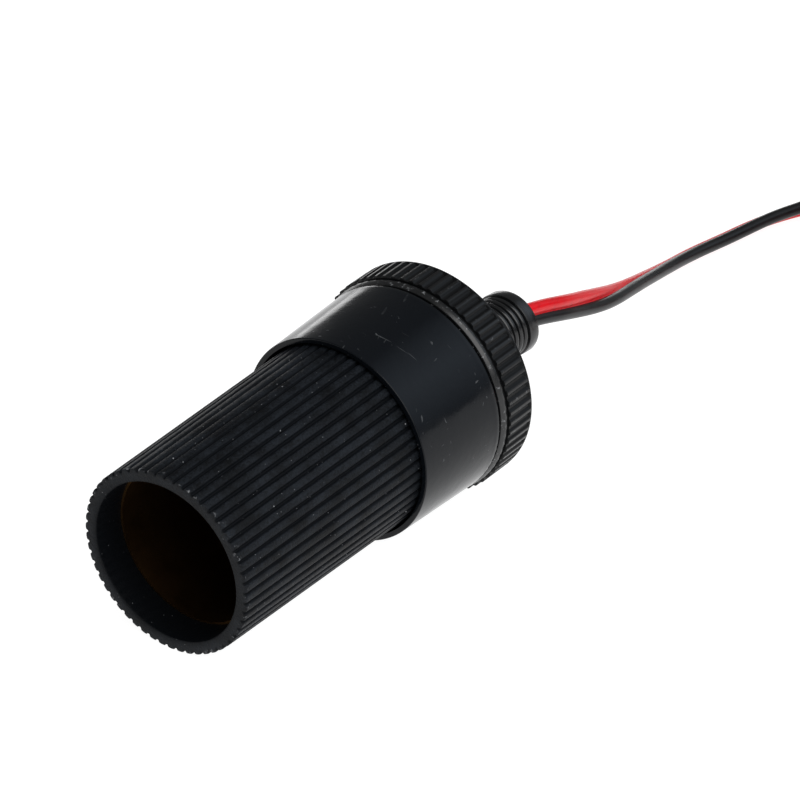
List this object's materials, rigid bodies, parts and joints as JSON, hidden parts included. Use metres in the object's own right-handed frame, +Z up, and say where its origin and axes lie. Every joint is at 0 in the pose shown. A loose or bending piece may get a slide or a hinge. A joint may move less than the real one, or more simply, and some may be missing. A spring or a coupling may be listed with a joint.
{
  "type": "cigarette lighter extension cable",
  "caption": "Extension lead for a car lighter outlet: ribbed round socket with a smooth collar and a knurled screw cap, flat two-core cord in a tied coil, and a fused plug.",
  "frame": {"origin": "on the floor, below the middle of the socket's bounding box, without the cord and the plug", "axes": "+X along the socket from its open mouth towards the cord, +Y to the left of that, +Z up"},
  "size_m": [0.1873, 0.0669, 0.0329],
  "materials": {
    "barrel_plastic": "finely grained black moulding",
    "collar_plastic": "polished black moulding",
    "cap_plastic": "black moulding with a bright satin sheen",
    "relief_pvc": "glossy soft black PVC",
    "shell_metal": "rolled sheet, lightly tarnished",
    "base_phenolic": "punched brown laminate",
    "spring_steel": "bright spring steel",
    "brass_contact": "turned brass",
    "tinned_brass": "tinned sheet",
    "zinc_steel": "zinc plated",
    "nickel": "nickel plated brass",
    "fuse_glass": "clear glass tube",
    "core_red": "glossy red PVC",
    "core_black": "glossy black PVC",
    "cord_pvc": "red and black PVC cores side by side",
    "tie_plastic": "coated wire tie",
    "plug_plastic": "fine satin black moulding"
  },
  "bodies": {
    "socket": {"grip_barrel": "barrel_plastic", "collar": "collar_plastic", "contact_shell": "shell_metal", "shell_base": "base_phenolic", "snap_ring": "spring_steel", "centre_contact": "brass_contact", "positive_tag": "tinned_brass", "contact_washer": "zinc_steel", "contact_nut": "zinc_steel", "lead_red": "core_red", "lead_black": "core_black", "cord_tube": "cord_pvc", "cord_coil": "cord_pvc", "cord_tie": "tie_plastic", "cord_tail": "cord_pvc", "plug_strain_relief": "relief_pvc", "plug_shell_upper": "plug_plastic", "plug_shell_lower": "plug_plastic", "plug_screw": "zinc_steel", "fuse_spring": "spring_steel", "spring_seat": "brass_contact", "ground_strap": "tinned_brass", "plug_lead_red": "core_red", "plug_lead_black": "core_black"},
    "gland": {"strain_relief": "relief_pvc"},
    "cap": {"rear_cap": "cap_plastic"},
    "washer": {"nose_washer": "base_phenolic"},
    "nose": {"nose_ring": "nickel"},
    "tip": {"tip_pin": "nickel", "fuse_glass": "fuse_glass", "fuse_caps": "nickel", "fuse_wire": "spring_steel"},
    "contact_left": {"side_contact_left": "nickel"},
    "contact_right": {"side_contact_right": "nickel"}
  },
  "joints": [
    {"name": "cap_travel", "type": "slide", "parent": "socket", "child": "gland", "axis": [0.9986, 0, 0.052], "range_m": [0, 0.003]},
    {"name": "cap_turn", "type": "hinge", "parent": "gland", "child": "cap", "pos_m": [0.01634, 0, 0.01549], "axis": [0.9986, 0, 0.052], "range_deg": [0, 720]},
    {"name": "nose_travel", "type": "slide", "parent": "socket", "child": "washer", "axis": [0.9982, 0, -0.0604], "range_m": [0, 0.0045]},
    {"name": "nose_turn", "type": "hinge", "parent": "washer", "child": "nose", "pos_m": [0.14102, -0.0395, 0.01759], "axis": [0.9982, 0, -0.0604], "range_deg": [0, 1080]},
    {"name": "tip_press", "type": "slide", "parent": "socket", "child": "tip", "axis": [-0.9982, 0, 0.0604], "range_m": [0, 0.0025], "stiffness_N_per_m": 600, "springref_m": -0.002, "deforming": ["fuse_spring"]},
    {"name": "contact_left_flex", "type": "hinge", "parent": "socket", "child": "contact_left", "pos_m": [0.11277, -0.0475, 0.0193], "axis": [0.0604, 0, 0.9982], "range_deg": [0, 6.5], "stiffness_Nm_per_rad": 0.05, "springref_deg": -2.86},
    {"name": "contact_right_flex", "type": "hinge", "parent": "socket", "child": "contact_right", "pos_m": [0.11277, -0.0315, 0.0193], "axis": [-0.0604, 0, -0.9982], "range_deg": [0, 6.5], "stiffness_Nm_per_rad": 0.05, "springref_deg": -2.86}
  ],
  "couplings": [
    {"joint": "cap_travel", "follows": "cap_turn", "m_per_rad": 0.00023873},
    {"joint": "nose_travel", "follows": "nose_turn", "m_per_rad": 0.00023873}
  ]
}
